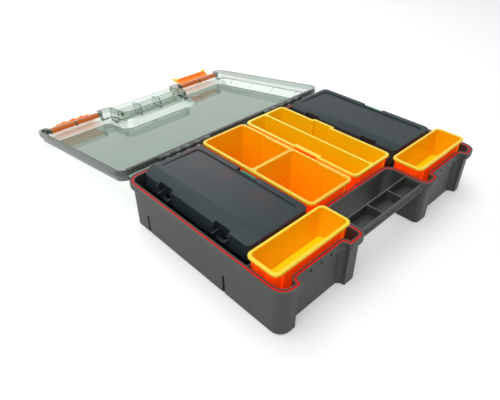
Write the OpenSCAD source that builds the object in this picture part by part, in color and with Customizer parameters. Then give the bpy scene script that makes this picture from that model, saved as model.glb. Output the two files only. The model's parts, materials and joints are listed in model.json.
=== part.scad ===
// Waterproof storage box: a moulded tub with a sealing cord in its rim, a clear lid on two
// pinned hinges, two swing latches, a carrying grip, and trays, cups and small organizer
// boxes that lift out. The lid is drawn opened right back, with its far edge on the table.
// X runs across the box, Y from front to back and Z up. The origin is at the middle of the
// face that the tub stands on.

/* [Tub] */
// Width of the tub over its rim
base_w = 420; // [400:1:460]
// Depth of the tub over its rim, front to back
base_d = 288; // [276:1:320]
// Height of the rim above the table
rim_z = 70; // [66:1:90]
// Radius of the rim's outer corners
corner_r = 19; // [14:0.5:24]
// Height of the flange around the rim
flange_h = 8; // [6:0.5:12]
// How far the tub's walls stand in from the edge of the flange
wall_in = 4.2; // [3.6:0.1:5]
// Thickness of the tub's walls
wall_t = 2.4; // [2:0.1:3]
// Thickness of the tub's floor
floor_t = 2.4; // [2:0.1:4]
// How far the foot stands in below the walls
foot_in = 1.2; // [0.6:0.1:2]
// Height of the foot
foot_h = 1.6; // [1:0.1:3]
// Height of the relief under the two sides
relief_h = 1; // [0.5:0.1:1.4]
// Distance between the two upright slots in each side wall
slot_pitch = 151; // [120:1:170]
// How far the middle of that pair lies behind the tub's middle
slot_mid = 27; // [0:1:40]

/* [Front] */
// Width of each pillar at the front corners
pillar_w = 32; // [26:0.5:40]
// Width of each latch bay in the front of the tub
bay_w = 79; // [70:0.5:90]
// Depth of each latch bay
bay_d = 9.6; // [8:0.1:12]
// Width of the opening for the carrying grip
gap_w = 135; // [110:1:150]
// Depth of that opening, from the front to the wall behind it
gap_d = 61; // [54:0.5:70]
// How far the face of a catch lip leans back at its top
lip_lean = 1.6; // [1:0.1:1.8]
// Spacing of the three catch slots in each lip
catch_pitch = 17; // [14:0.5:22]

/* [Grip] */
// How far the grip stands back from the front
grip_back = 8.8; // [6:0.1:10]
// Width of the grip, front to back
grip_w = 26; // [22:0.5:30]
// Height of the tub's half of the grip
grip_h = 15; // [12:0.5:20]
// Step from the rim down to the grip's top edge
grip_drop = 1; // [0.5:0.1:2]
// Wall of the grip and of the partitions in it
grip_wall = 1.8; // [1.4:0.1:2.4]
// Number of ribs on the face of the grip
grip_ribs = 26; // [12:1:30]

/* [Seal] */
// Distance from the edge of the flange to the sealing groove
groove_in = 2.4; // [2:0.1:2.8]
// Width of the sealing groove
groove_w = 3; // [2.4:0.1:3.2]
// Depth of the sealing groove
groove_d = 2; // [1.6:0.1:3]
// Side clearance of the sealing cord in its groove
cord_clear = 0.15; // [0.1:0.05:0.3]
// Gap between the closed lid and the rim
seal_gap = 0.3; // [0.2:0.05:0.5]

/* [Lid] */
// Height of the lid over its rim
lid_h = 26; // [24:0.5:34]
// Height of the lid's flange
lid_flange_h = 8; // [6:0.5:10]
// How far the lid's walls stand in from the edge of its flange
lid_wall_in = 3.4; // [3:0.1:4]
// Thickness of the lid's walls and top
lid_t = 2.2; // [1.8:0.1:2.6]
// How far the lid's front edge stands out past the tub
lid_over = 4; // [2:0.5:6]
// Height at which the lid's sloping shoulder starts
shoulder_z = 17; // [15.5:0.5:19]
// How far the shoulder leans in up to the top
shoulder_w = 16; // [10:0.5:20]
// How far the wall behind the grip leans back up to the top
scoop_w = 17; // [10:0.5:22]
// Width of each latch bay in the lid
lid_bay_w = 96; // [92:0.5:98]
// Distance between the stiffening ribs inside the lid's sides
lid_rib_pitch = 62; // [50:1:70]

/* [Hinge] */
// Distance from the tub's back edge to the hinge pins
hinge_out = 6; // [5:0.5:8]
// Height of the hinge pins above the rim
hinge_up = 1.5; // [1:0.1:2]
// Outer radius of the hinge knuckles
knuckle_r = 3.5; // [3:0.1:4]
// Length of one knuckle with its share of the gaps
knuckle_pitch = 9.2; // [8:0.1:10]
// Gap between two knuckles
knuckle_gap = 0.4; // [0.3:0.1:0.8]
// Number of knuckles on each pin
knuckles = 10; // [8:2:12]
// Distance from the tub's side to the first knuckle
hinge_in = 60; // [50:1:70]
// Radius of the hinge pins and the latch pins
pin_r = 1.5; // [1.2:0.1:1.8]
// Running clearance around a pin
pin_clear = 0.06; // [0.04:0.01:0.1]

/* [Latches] */
// Height of a latch pin above the lid's rim
latch_up = 7; // [6.2:0.1:8]
// Distance from the tub's front back to a latch pin
latch_back = 1.5; // [0.5:0.1:2.5]
// Radius of a latch's barrel
barrel_r = 4.2; // [3.6:0.1:4.6]
// Width of a latch's lever
lever_w = 76; // [66:0.5:76.5]
// Thickness of a lever
lever_t = 2.8; // [2.2:0.1:3.2]
// Length of a lever from its pin to its tip
lever_l = 26; // [24:0.5:28]
// Thickness of the lugs that carry a latch pin
lug_t = 3; // [2.4:0.1:4]
// Gap beside each lug
lug_gap = 0.4; // [0.3:0.1:0.6]
// Width of one catch tooth on a lever
tooth_w = 6; // [4:0.5:8]
// How far a catch tooth reaches in under its lip
tooth_grip = 1.9; // [1.2:0.1:2.4]
// Clearance between a closed latch and its lip
catch_clear = 0.4; // [0.3:0.05:0.6]
// Width of the coloured finger tab across its flared ends
tab_w = 87; // [80:0.5:88]
// Width of the finger tab's narrow middle
tab_waist = 44; // [36:0.5:60]
// Thickness of the finger tab
tab_t = 2.6; // [2:0.1:3.2]
// How far the left latch is swung open from closed, in degrees
left_swing = 92; // [80:1:95]
// How far the right latch is swung open from closed, in degrees
right_swing = 55; // [30:1:80]

/* [Trays] */
// How far the trays and cups stand above the rim
tray_proud = 12; // [6:0.5:13]
// Height of each front cup
cup_h = 52; // [40:1:56]
// Wall of the trays and cups
tray_t = 1.5; // [1.2:0.1:2]
// How much each side of a tray draws in from its rim to its foot
tray_draft = 3; // [1.5:0.1:4]
// Width of the rim flange of the trays and cups
tray_rim = 2.4; // [1.6:0.1:3]
// Height of that flange
tray_rim_h = 3; // [2:0.1:4]
// Corner radius of the trays and cups
tray_r = 8; // [6:0.5:10]
// Clearance around each cup in its bay
cup_clear = 3.4; // [2.6:0.1:4]
// Gap between the partition and the trays behind it
tray_front = 1.2; // [0.6:0.1:2]
// Gap between the back wall and the trays
tray_back = 4.4; // [2:0.1:6]
// Gap between the two trays
tray_gap = 4.6; // [3:0.1:6]
// Length of the finger notch in the channel tray
notch_l = 39; // [30:0.5:46]
// Depth of that notch and of the swelling across from it
notch_d = 4; // [2:0.1:4.4]
// Height of the small gap under each part that stands on another
rest_gap = 0.3; // [0.2:0.05:0.5]

/* [Organizers] */
// Width of each small organizer box
organizer_w = 99; // [94:0.5:100]
// How far the organizers stand above the rim
organizer_proud = 4; // [2:0.5:8]
// Height of an organizer's lid
organizer_lid_h = 18; // [16:0.5:20]
// Wall of the organizers
organizer_t = 1.6; // [1.4:0.1:2]
// Distance from the tub's left wall to the left organizer
left_gap = 15; // [13:0.1:16]
// Distance from the right organizer to the tub's right wall
right_gap = 7.6; // [7:0.1:9]
// Gap between the left organizer and the tray beside it
organizer_gap = 4.6; // [4.4:0.1:6]
// Gap between the channel tray and the right organizer
hinge_gap = 11; // [10.4:0.1:13]
// Corner radius of an organizer's lid
organizer_r = 9; // [7:0.5:11]
// How far the hinge side of an organizer's lid slopes out
organizer_slope = 7; // [4:0.5:8]
// Distance from an organizer's middle to each of its hinges
organizer_hinge_y = 60; // [50:1:66]
// Length of each hinge recess
organizer_hinge_l = 40; // [34:1:46]
// Length of the finger latch
clip_l = 28; // [22:0.5:32]
// Number of rows of compartments, front to back
rows = 5; // [4:1:5]
// Thickness of a removable divider
divider_t = 1.2; // [1:0.1:1.6]
// Clearance of a divider in its guide
divider_clear = 0.3; // [0.2:0.05:0.4]

/* [Hidden] */

// Facets of a full round, and points on each rounded corner of an outline
$fn = 40;
corner_steps = 6;
// Small overlap that joins two solids of one piece, and a cut's run past a face
join = 0.5;
past = 1;

// Edges of the tub's rim and faces of the space inside it
front = -base_d/2;
back = base_d/2;
side = base_w/2;
wall_inner = wall_in + wall_t;
inner_back = back - wall_inner;
inner_side = side - wall_inner;
bay_out = side - pillar_w;
bay_in = bay_out - bay_w;
bay_mid = (bay_out + bay_in)/2;
gap_half = gap_w/2;

// The partition between the front cups and the pieces behind them
partition_t = 2.4;
partition_back = front + gap_d + wall_inner;
partition_z = 58;
cup_step_z = rim_z + tray_proud - cup_h - rest_gap;

// Places of the pieces in the tub, from left to right
organizer_left_x = -inner_side + left_gap + organizer_w/2;
organizer_right_x = inner_side - right_gap - organizer_w/2;
tray_space = 2*inner_side - left_gap - right_gap - 2*organizer_w;
tray_w = (tray_space - organizer_gap - tray_gap - hinge_gap)/2;
cup_tray_x = organizer_left_x + organizer_w/2 + organizer_gap + tray_w/2;
channel_tray_x = cup_tray_x + tray_w + tray_gap;
tray_l = inner_back - tray_back - partition_back - tray_front;
tray_y = partition_back + tray_front + tray_l/2;
tray_floor_z = floor_t + rest_gap;
tray_h = rim_z + tray_proud - tray_floor_z;
cup_w = inner_side - gap_half - wall_inner - 2*cup_clear;
cup_l = gap_d - bay_d - partition_t - 2*cup_clear;
cup_x = gap_half + wall_inner + cup_clear + cup_w/2;
cup_y = front + bay_d + wall_inner + cup_clear + cup_l/2;

// Hinge and latch axes, with the lid closed
hinge_y = back + hinge_out;
hinge_z = rim_z + hinge_up;
lid_z = rim_z + seal_gap;
lid_front = front - lid_over;
lid_bay_out = bay_mid + lid_bay_w/2 + 4;
lid_bay_in = lid_bay_out - lid_bay_w;
lid_bay_front = front + bay_d;
lid_bay_mid = (lid_bay_out + lid_bay_in)/2;
latch_y = front + latch_back;
latch_z = lid_z + latch_up;
plateau_front = lid_bay_front + lid_wall_in + 1.5;
lip_z = rim_z - flange_h;

// The lid leans back until the front edge of its top meets the table
reach_y = hinge_y - plateau_front;
reach_z = lid_z + lid_h - hinge_z;
lean = asin(hinge_z/norm([reach_y, reach_z])) - atan2(reach_z, reach_y);
lid_open = 180 + lean;

// Sizes inside an organizer, from its own foot
organizer_top = rim_z + organizer_proud - tray_floor_z;
organizer_l = tray_l - 1;
case_top = organizer_top - organizer_lid_h;
lid_gap = 0.3;
case_flange = 2;
case_in = 4.5;
case_w = organizer_w - 2*case_in;
case_l = organizer_l - 2*case_in;
case_hinge_x = -organizer_w/2 + 1.8;
case_hinge_z = case_top - 1;
case_wall_h = case_top - 3;
spine_t = 1.4;
clip_x = organizer_w/2 - 2.6;
clip_face = organizer_w/2 - case_in + case_flange + 0.3;
clip_pivot_z = case_top + 12;
clip_notch_l = clip_l + 8;
clip_notch_d = 8;

// Corners and outlines

// Unit vector from one point to another
function heading(a, b) = (b - a)/norm(b - a);

// Points that round the corner p between its neighbours a and b
function corner_arc(a, p, b, r, steps) =
  let (
    u = heading(p, a),
    v = heading(p, b),
    half = acos(u*v)/2,
    centre = p + (u + v)/norm(u + v)*r/sin(half),
    from = p + u*r/tan(half) - centre,
    to = p + v*r/tan(half) - centre,
    turn = 180 - 2*half
  )
  [for (i = [0:steps]) centre + (from*sin(turn*(1 - i/steps)) + to*sin(turn*i/steps))/sin(turn)];

// How much of each straight edge the rounding of the corner p takes up
function run(a, p, b, r) = r/tan(acos(heading(p, a)*heading(p, b))/2);

// An outline with each of its corners rounded by its own radius, less where an edge is short
function rounded(points, radii, steps = corner_steps) =
  let (
    n = len(points),
    runs = [for (i = [0:n - 1])
      run(points[(i + n - 1) % n], points[i], points[(i + 1) % n], radii[i])]
  )
  [for (i = [0:n - 1])
    let (
      before = (i + n - 1) % n,
      after = (i + 1) % n,
      room = min(
        norm(points[i] - points[before])/(runs[i] + runs[before]),
        norm(points[i] - points[after])/(runs[i] + runs[after])
      )
    )
    each corner_arc(points[before], points[i], points[after], radii[i]*min(1, 0.96*room), steps)];

// Inward normal of the edge from a to b, on an outline that runs anticlockwise
function inward(a, b) = let (h = heading(a, b)) [-h.y, h.x];

// An outline with every edge moved in by d
function inset_points(points, d) =
  let (n = len(points))
  [for (i = [0:n - 1])
    let (
      first = inward(points[(i + n - 1) % n], points[i]),
      second = inward(points[i], points[(i + 1) % n])
    )
    points[i] + d*(first + second)/(1 + first*second)];

// The radii that go with it: outer corners tighten and inner corners widen
function inset_radii(points, radii, d) =
  let (n = len(points))
  [for (i = [0:n - 1])
    let (
      first = inward(points[(i + n - 1) % n], points[i]),
      second = inward(points[i], points[(i + 1) % n]),
      bend = first.x*second.y - first.y*second.x
    )
    max(radii[i] - sign(bend)*d, 0.8)];

function inset_outline(points, radii, d) =
  rounded(inset_points(points, d), inset_radii(points, radii, d));

// The left half of an outline that is the same on both sides, with its mirror image
function both_sides(half) =
  concat(half, [for (i = [len(half) - 1:-1:0]) [-half[i].x, half[i].y]]);
function both_radii(half) = concat(half, [for (i = [len(half) - 1:-1:0]) half[i]]);

// Corners of the tub's rim, anticlockwise from the back left corner
rim_points = both_sides([
  [-side, back], [-side, front],
  [-bay_out, front], [-bay_out, front + bay_d], [-bay_in, front + bay_d], [-bay_in, front],
  [-gap_half, front], [-gap_half, front + gap_d]
]);
rim_radii = both_radii([corner_r, corner_r, 5, 3, 3, 4, 12, 10]);

// Corners of the lid's rim, whose bays are wider and whose front stands out
lid_points = both_sides([
  [-side, back], [-side, lid_front],
  [-lid_bay_out, lid_front], [-lid_bay_out, lid_bay_front],
  [-lid_bay_in, lid_bay_front], [-lid_bay_in, lid_front],
  [-gap_half, lid_front], [-gap_half, front + gap_d]
]);
lid_radii = both_radii([corner_r, corner_r - 5, 3, 3, 3, 4, 12, 10]);

// Corners of the lid's raised top, at the foot of its shoulder and at its upper edge
function shoulder_points(in, slope, scoop) = both_sides([
  [-side + in + slope, back - in - slope/2],
  [-side + in + slope, lid_bay_front + in + slope*1.5/shoulder_w],
  [-gap_half - in - scoop*0.7, lid_bay_front + in + slope*1.5/shoulder_w],
  [-gap_half - in - scoop*0.7, front + gap_d + in + scoop]
]);
function shoulder_outline(in, slope, scoop) =
  rounded(shoulder_points(in, slope, scoop), both_radii([corner_r - in, 10, 8, 10 + scoop/2]));
seam = 0.5;

module rim_plan(d) {
  polygon(inset_outline(rim_points, rim_radii, d));
}

module lid_plan(d) {
  polygon(inset_outline(lid_points, lid_radii, d));
}

// A rounded rectangle about the origin
function box_points(w, l) = [[-w/2, -l/2], [w/2, -l/2], [w/2, l/2], [-w/2, l/2]];
function box_outline(w, l, r) = rounded(box_points(w, l), [r, r, r, r]);

module plate(w, l, r, h) {
  linear_extrude(h) polygon(box_outline(w, l, r));
}

// A shell's wall between two outlines that have the same number of points
module loft(low, z_low, high, z_high) {
  n = len(low);
  points = concat([for (p = low) [p.x, p.y, z_low]], [for (p = high) [p.x, p.y, z_high]]);
  sides = [for (i = [0:n - 1]) [i, i + n, (i + 1) % n + n, (i + 1) % n]];
  polyhedron(points, concat([[for (i = [0:n - 1]) i]], [[for (i = [n - 1:-1:0]) i + n]], sides));
}

// A hollow cap of wall t: up the outside, over the flat top, and down the inside
module hollow_loft(low, high, inner_low, inner_high, z_low, z_high, t) {
  n = len(low);
  function ring(a, b) =
    [for (i = [0:n - 1]) [a*n + i, b*n + i, b*n + (i + 1) % n, a*n + (i + 1) % n]];
  points = concat(
    [for (p = low) [p.x, p.y, z_low]],
    [for (p = high) [p.x, p.y, z_high]],
    [for (p = inner_high) [p.x, p.y, z_high - t]],
    [for (p = inner_low) [p.x, p.y, z_low - t]]
  );
  // The flat faces are fanned out from the two back corners, round the recess in the front
  ceiling = concat(
    [for (i = [1:n/2 - 2]) [0, i, i + 1]],
    [for (i = [n/2:n - 3]) [n - 1, i, i + 1]],
    [[0, n/2 - 1, n/2], [0, n/2, n - 1]]
  );
  top_faces = [for (f = ceiling) [n + f[2], n + f[1], n + f[0]]];
  ceiling_faces = [for (f = ceiling) [2*n + f[0], 2*n + f[1], 2*n + f[2]]];
  polyhedron(points, concat(ring(0, 1), top_faces, ceiling_faces, ring(2, 3), ring(3, 0)));
}

// A round bar along X from x0, of length l
module bar_x(x0, l, r) {
  translate([x0, 0, 0]) rotate([0, 90, 0]) cylinder(h = l, r = r);
}

// A round bar along Y, about the middle
module bar_y(l, r) {
  rotate([90, 0, 0]) cylinder(h = l, r = r, center = true);
}

// The tub

knuckle_l = knuckle_pitch - knuckle_gap;
hinge_l = knuckles*knuckle_pitch;
hinge_start = side - hinge_in - hinge_l;

// Knuckles of one hinge, every second one from the given place, on arms that start at y0
module knuckle_row(first, y0, z0, z1) {
  for (i = [first:2:knuckles - 1])
    translate([hinge_start + i*knuckle_pitch + knuckle_gap/2, 0, 0]) {
      translate([0, hinge_y, hinge_z]) bar_x(0, knuckle_l, knuckle_r);
      translate([0, y0, z0]) cube([knuckle_l, hinge_y - y0, z1 - z0]);
    }
}

module hinge_bore() {
  translate([0, hinge_y, hinge_z])
    bar_x(hinge_start - past, hinge_l + 2*past, pin_r + pin_clear);
}

// Length of the grip, with its ends let into the walls on both sides of the opening
grip_l = gap_w + 2*wall_in + 1.6;
grip_top = rim_z - grip_drop;
grip_cells = 3;
grip_cell_l = (gap_w - 2*grip_wall - (grip_cells - 1)*grip_wall)/grip_cells;
rib_pitch = (gap_w - 8)/grip_ribs;

// The tub's half of the grip, with three open compartments and a ribbed face
module grip_tray() {
  translate([0, front + grip_back, grip_top - grip_h])
    difference() {
      translate([-grip_l/2, 0, 0]) cube([grip_l, grip_w, grip_h]);
      for (i = [0:grip_cells - 1])
        translate([-gap_half + grip_wall + i*(grip_cell_l + grip_wall), grip_wall, grip_wall])
          cube([grip_cell_l, grip_w - 2*grip_wall, grip_h]);
      for (i = [0:grip_ribs - 1])
        translate([(i + 0.5 - grip_ribs/2)*rib_pitch - rib_pitch/4, -past, grip_h*0.15])
          cube([rib_pitch/2, past + 1.1, grip_h*0.62]);
    }
}

// The sloping face of a catch lip, and the slots that its teeth enter
module catch_cuts() {
  translate([bay_mid, front + bay_d, lip_z]) {
    translate([0, 0, 0.6]) rotate([atan2(-lip_lean, flange_h), 0, 0])
      translate([-bay_w/2 + 4, -10, 0]) cube([bay_w - 8, 10, flange_h*2]);
    for (x = [-1:1])
      translate([x*catch_pitch - 1.5, -past, 1.2]) cube([3, past + 3, 3.2]);
  }
}

// The groove down the outside of each end of a side wall
slot_places = [slot_mid - slot_pitch/2, slot_mid + slot_pitch/2];
slot_w = 3;
slot_d = 3;
slot_h = 29;

module slot_boss() {
  translate([side - wall_in - slot_d - wall_t, -slot_w/2 - wall_t, floor_t - join])
    cube([slot_d + join, slot_w + 2*wall_t, slot_h + wall_t]);
}

module slot_cut() {
  translate([side - wall_in - slot_d, -slot_w/2, foot_h])
    cube([slot_d + wall_in, slot_w, slot_h - foot_h]);
}

// The step that a front cup stands on, and the partition behind it
module cup_bay() {
  translate([gap_half + wall_inner - join, front + bay_d + wall_inner - join, floor_t - join])
    cube([inner_side - gap_half - wall_inner + 2*join, gap_d - bay_d + join, cup_step_z - floor_t + join]);
  translate([gap_half + wall_inner - join, partition_back - partition_t, floor_t - join])
    cube([inner_side - gap_half - wall_inner + 2*join, partition_t, partition_z - floor_t + join]);
}

// The hollow under that step, open to the table side
module cup_bay_hollow() {
  translate([gap_half + wall_inner + wall_t, front + bay_d + wall_inner + wall_t, -past])
    cube([inner_side - gap_half - wall_inner - 2*wall_t, gap_d - bay_d - 2*wall_t - partition_t,
      cup_step_z - floor_t + past]);
}

module base_tub() {
  color([0.33, 0.34, 0.32])
    difference() {
      union() {
        difference() {
          union() {
            linear_extrude(foot_h + past) rim_plan(wall_in + foot_in);
            translate([0, 0, foot_h]) linear_extrude(rim_z - foot_h) rim_plan(wall_in);
            translate([0, 0, lip_z]) linear_extrude(flange_h) rim_plan(0);
          }
          translate([0, 0, floor_t]) linear_extrude(rim_z) rim_plan(wall_inner);
          for (s = [0, 1]) mirror([s, 0, 0]) catch_cuts();
        }
        grip_tray();
        for (s = [0, 1]) mirror([s, 0, 0]) {
          cup_bay();
          knuckle_row(1, back - 2, rim_z - 5, rim_z);
          for (y = slot_places) translate([0, y, 0]) slot_boss();
        }
      }
      translate([0, 0, rim_z - groove_d])
        linear_extrude(rim_z) difference() {
          rim_plan(groove_in);
          rim_plan(groove_in + groove_w);
        }
      for (s = [0, 1]) mirror([s, 0, 0]) {
        cup_bay_hollow();
        hinge_bore();
        for (y = slot_places) translate([0, y, 0]) slot_cut();
        translate([side - wall_in - foot_in - wall_t, slot_places[0], -past])
          cube([wall_in + foot_in + wall_t, slot_pitch, relief_h + past]);
      }
    }
}

module rim_gasket() {
  color([0.9, 0.1, 0.08])
    translate([0, 0, rim_z - groove_d])
      linear_extrude(groove_d - seal_gap/2) difference() {
        rim_plan(groove_in + cord_clear);
        rim_plan(groove_in + groove_w - cord_clear);
      }
}

module hinge_pin_right() {
  color([0.3, 0.3, 0.3])
    translate([0, hinge_y, hinge_z])
      bar_x(hinge_start + knuckle_gap/2, hinge_l - knuckle_gap, pin_r);
}

module hinge_pin_left() {
  mirror([1, 0, 0]) hinge_pin_right();
}

// The lid, drawn closed and then swung open

module swing_lid() {
  translate([0, hinge_y, hinge_z])
    rotate([-lid_open, 0, 0])
      translate([0, -hinge_y, -hinge_z]) children();
}

// Section of the lid's half of the grip, with its top edges rounded
module grip_arch(in) {
  w = grip_w + 4 - 2*in;
  rotate([90, 0, 90])
    linear_extrude(grip_l - 2*in, center = true)
      polygon(rounded(
        [[in, -past*in], [w + in, -past*in], [w + in, lid_h - in], [in, lid_h - in]],
        [0.5, 0.5, 9 - in, 9 - in]));
}

// One lug of a latch, with its foot on the wall of the bay
module latch_lug(x) {
  translate([x - lug_t/2, 0, 0]) {
    translate([0, latch_y, latch_z]) bar_x(0, lug_t, barrel_r);
    translate([0, latch_y, latch_z - barrel_r + 1])
      cube([lug_t, lid_bay_front + 2 - latch_y, 2*barrel_r - 2]);
  }
}

lug_places = [lid_bay_in + lug_t/2 - join, lid_bay_mid, lid_bay_out - lug_t/2 + join];

module latch_bore() {
  translate([0, latch_y, latch_z])
    bar_x(lid_bay_in - past, lid_bay_w + 2*past, pin_r + pin_clear);
}

// Height at which the lid's ribs start, clear above the trays and cups
rib_foot = tray_proud + 1.5;

// A stiffening rib in the corner between a side wall and the shoulder
module lid_rib() {
  translate([side - lid_wall_in - lid_t + join, 0, lid_z])
    rotate([90, 0, 0]) linear_extrude(1.6, center = true)
      polygon([
        [0, rib_foot], [0, shoulder_z - 1.3],
        [4 - shoulder_w, lid_h - 3.2], [3 - shoulder_w, lid_h - 5], [-1.5, rib_foot]
      ]);
}

lid_inner = lid_wall_in + lid_t;

module lid_ring(in, h) {
  linear_extrude(h) difference() {
    lid_plan(in);
    lid_plan(lid_inner);
  }
}

module lid_closed() {
  difference() {
    union() {
      // Flange, walls, and the tops of the front pillars
      translate([0, 0, lid_z]) lid_ring(0, lid_flange_h);
      translate([0, 0, lid_z]) lid_ring(lid_wall_in, shoulder_z);
      translate([0, 0, lid_z + shoulder_z - lid_t])
        linear_extrude(lid_t) difference() {
          lid_plan(lid_wall_in);
          polygon(shoulder_outline(lid_wall_in + 3, 0, 0));
        }
      // Shoulder and flat top
      translate([0, 0, lid_z])
        hollow_loft(
          shoulder_outline(lid_wall_in + seam, 0, 0),
          shoulder_outline(lid_wall_in, shoulder_w, scoop_w),
          shoulder_outline(lid_inner + seam, 0, 0),
          shoulder_outline(lid_inner, shoulder_w, scoop_w),
          shoulder_z - 1, lid_h, lid_t);
      difference() {
        translate([0, front + grip_back - 2, lid_z]) grip_arch(0);
        translate([0, front + grip_back - 2, lid_z]) grip_arch(2);
      }
      for (x = [-1, 1])
        translate([x*(grip_cell_l + grip_wall)/2 - grip_wall/2, front + grip_back - 1, lid_z + 4])
          cube([grip_wall, grip_w + 2, lid_h - 5]);
      for (s = [0, 1]) mirror([s, 0, 0]) {
        knuckle_row(0, back - 2, hinge_z - 1, hinge_z + knuckle_r);
        for (x = lug_places) latch_lug(x);
        for (i = [-1.5:1.5]) translate([0, i*lid_rib_pitch, 0]) lid_rib();
      }
    }
    for (s = [0, 1]) mirror([s, 0, 0]) {
      hinge_bore();
      latch_bore();
    }
  }
}

module lid_shell() {
  color([0.62, 0.72, 0.67, 0.5]) swing_lid() lid_closed();
}

// Latches, drawn on the right side of the closed lid

barrel_l = (lid_bay_w - 3*lug_t + 2*join - 4*lug_gap)/2;
lever_tip = latch_z - lever_l;
lever_face = latch_y - barrel_r;

// A catch tooth that reaches in under the lip
module tooth() {
  reach = front + bay_d + tooth_grip - lever_face;
  translate([-tooth_w/2, lever_face + join, lip_z - catch_clear - 4])
    cube([tooth_w, reach - join, 4]);
}

module lever_closed() {
  difference() {
    union() {
      for (x = [lid_bay_mid - lug_t/2 - lug_gap - barrel_l, lid_bay_mid + lug_t/2 + lug_gap])
        translate([x, latch_y, latch_z]) bar_x(0, barrel_l, barrel_r);
      translate([bay_mid - lever_w/2, lever_face, lever_tip]) cube([lever_w, lever_t, lever_l]);
      for (i = [-1:1]) translate([bay_mid + i*catch_pitch, 0, 0]) tooth();
      for (i = [-3:3])
        translate([bay_mid + i*lever_w/7.4 - 0.7, lever_face + lever_t - join, lever_tip + 1.5])
          cube([1.4, 2, lever_l - 8]);
    }
    translate([0, latch_y, latch_z]) bar_x(lid_bay_in - past, lid_bay_w + 2*past, pin_r + pin_clear);
    translate([lid_bay_mid - lug_t/2 - lug_gap, lever_face - past, latch_z - barrel_r - 1.5])
      cube([lug_t + 2*lug_gap, 2*barrel_r + 2*past, 2*barrel_r + 4]);
  }
}

// The flared finger tab, seen from the front: wide ends and a narrow middle
module tab_closed() {
  end = tab_w/2;
  waist = tab_waist/2;
  low = lever_tip - 2;
  half = [
    [-waist, low + 3], [-waist + 2, low + 13], [-end + 5, low + 15], [-end, low]
  ];
  outline = concat(half, [for (i = [3:-1:0]) [-half[i].x, half[i].y]]);
  translate([bay_mid, lever_face, 0])
    rotate([90, 0, 0]) linear_extrude(tab_t)
      polygon(rounded([for (i = [7:-1:0]) outline[i]], [5, 3, 2, 3, 3, 2, 3, 5]));
}

// Turns a latch open about its pin
module swing_latch(angle) {
  translate([0, latch_y, latch_z]) rotate([-angle, 0, 0])
    translate([0, -latch_y, -latch_z]) children();
}

module pin_closed() {
  translate([0, latch_y, latch_z]) bar_x(lid_bay_in + 0.2, lid_bay_w - 0.4, pin_r);
}

module latch_right_lever() {
  color([0.93, 0.42, 0.08]) swing_lid() swing_latch(right_swing) lever_closed();
}

module latch_right_tab() {
  color([1, 0.92, 0]) swing_lid() swing_latch(right_swing) tab_closed();
}

module latch_right_pin() {
  color([0.25, 0.25, 0.25]) swing_lid() pin_closed();
}

module latch_left_lever() {
  color([0.93, 0.42, 0.08]) mirror([1, 0, 0]) swing_lid() swing_latch(left_swing) lever_closed();
}

module latch_left_tab() {
  color([1, 0.92, 0]) mirror([1, 0, 0]) swing_lid() swing_latch(left_swing) tab_closed();
}

module latch_left_pin() {
  color([0.25, 0.25, 0.25]) mirror([1, 0, 0]) swing_lid() pin_closed();
}

// Trays and cups

// A body that widens from its foot up to the given outline
module tapered(points, radii, h, draft) {
  loft(rounded(inset_points(points, draft), radii), 0, rounded(points, radii), h);
}

// A row of short upright ribs beside the rounded corners of a tray
module corner_ribs(w, l, h) {
  for (x = [-1, 1], y = [-1, 1]) {
    translate([x*(w/2 - tray_rim + 0.2) - 0.8, y*(l/2 - tray_r - 5) - 0.8, h*0.45])
      cube([1.6, 1.6, h*0.55 - 1]);
    translate([x*(w/2 - tray_r - 5) - 0.8, y*(l/2 - tray_rim + 0.2) - 0.8, h*0.45])
      cube([1.6, 1.6, h*0.55 - 1]);
  }
}

// The inside of one compartment, tapering like the tray
module pocket(w, l, h) {
  translate([0, 0, tray_t])
    tapered(box_points(w, l), [for (i = [1:4]) tray_r - tray_rim], h, tray_draft);
}

module front_cup() {
  points = box_points(cup_w, cup_l);
  radii = [for (i = [1:4]) tray_r];
  body = inset_points(points, tray_rim);
  body_radii = [for (r = radii) r - tray_rim];
  difference() {
    union() {
      tapered(body, body_radii, cup_h - join, tray_draft);
      translate([0, 0, cup_h - tray_rim_h]) plate(cup_w, cup_l, tray_r, tray_rim_h);
      corner_ribs(cup_w, cup_l, cup_h);
    }
    pocket(cup_w - 2*tray_rim - 2*tray_t, cup_l - 2*tray_rim - 2*tray_t, cup_h);
  }
}

module front_cup_right() {
  color([1, 0.75, 0.1]) translate([cup_x, cup_y, cup_step_z + rest_gap]) front_cup();
}

module front_cup_left() {
  color([1, 0.75, 0.1]) mirror([1, 0, 0])
    translate([cup_x, cup_y, cup_step_z + rest_gap]) front_cup();
}

// A tray with two square compartments, one behind the other
module twin_cup_tray() {
  body = inset_points(box_points(tray_w, tray_l), tray_rim);
  cell_w = tray_w - 2*tray_rim - 2*tray_t;
  cell_l = (tray_l - 2*tray_rim - 4*tray_t)/2;
  step_t = 2;
  color([1, 0.55, 0.05])
    translate([cup_tray_x, tray_y, tray_floor_z])
      difference() {
        union() {
          tapered(body, [for (i = [1:4]) tray_r - tray_rim], tray_h - join, tray_draft);
          translate([0, 0, tray_h - tray_rim_h]) plate(tray_w, tray_l, tray_r, tray_rim_h);
          corner_ribs(tray_w, tray_l, tray_h);
        }
        for (s = [-1, 1])
          translate([0, s*(cell_l/2 + tray_t), 0])
            difference() {
              pocket(cell_w, cell_l, tray_h);
              // The right wall is thicker over the front part of each compartment
              translate([cell_w/2 - step_t, -cell_l, -past])
                cube([tray_w, cell_l, tray_h + 2*past]);
            }
      }
}

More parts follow.
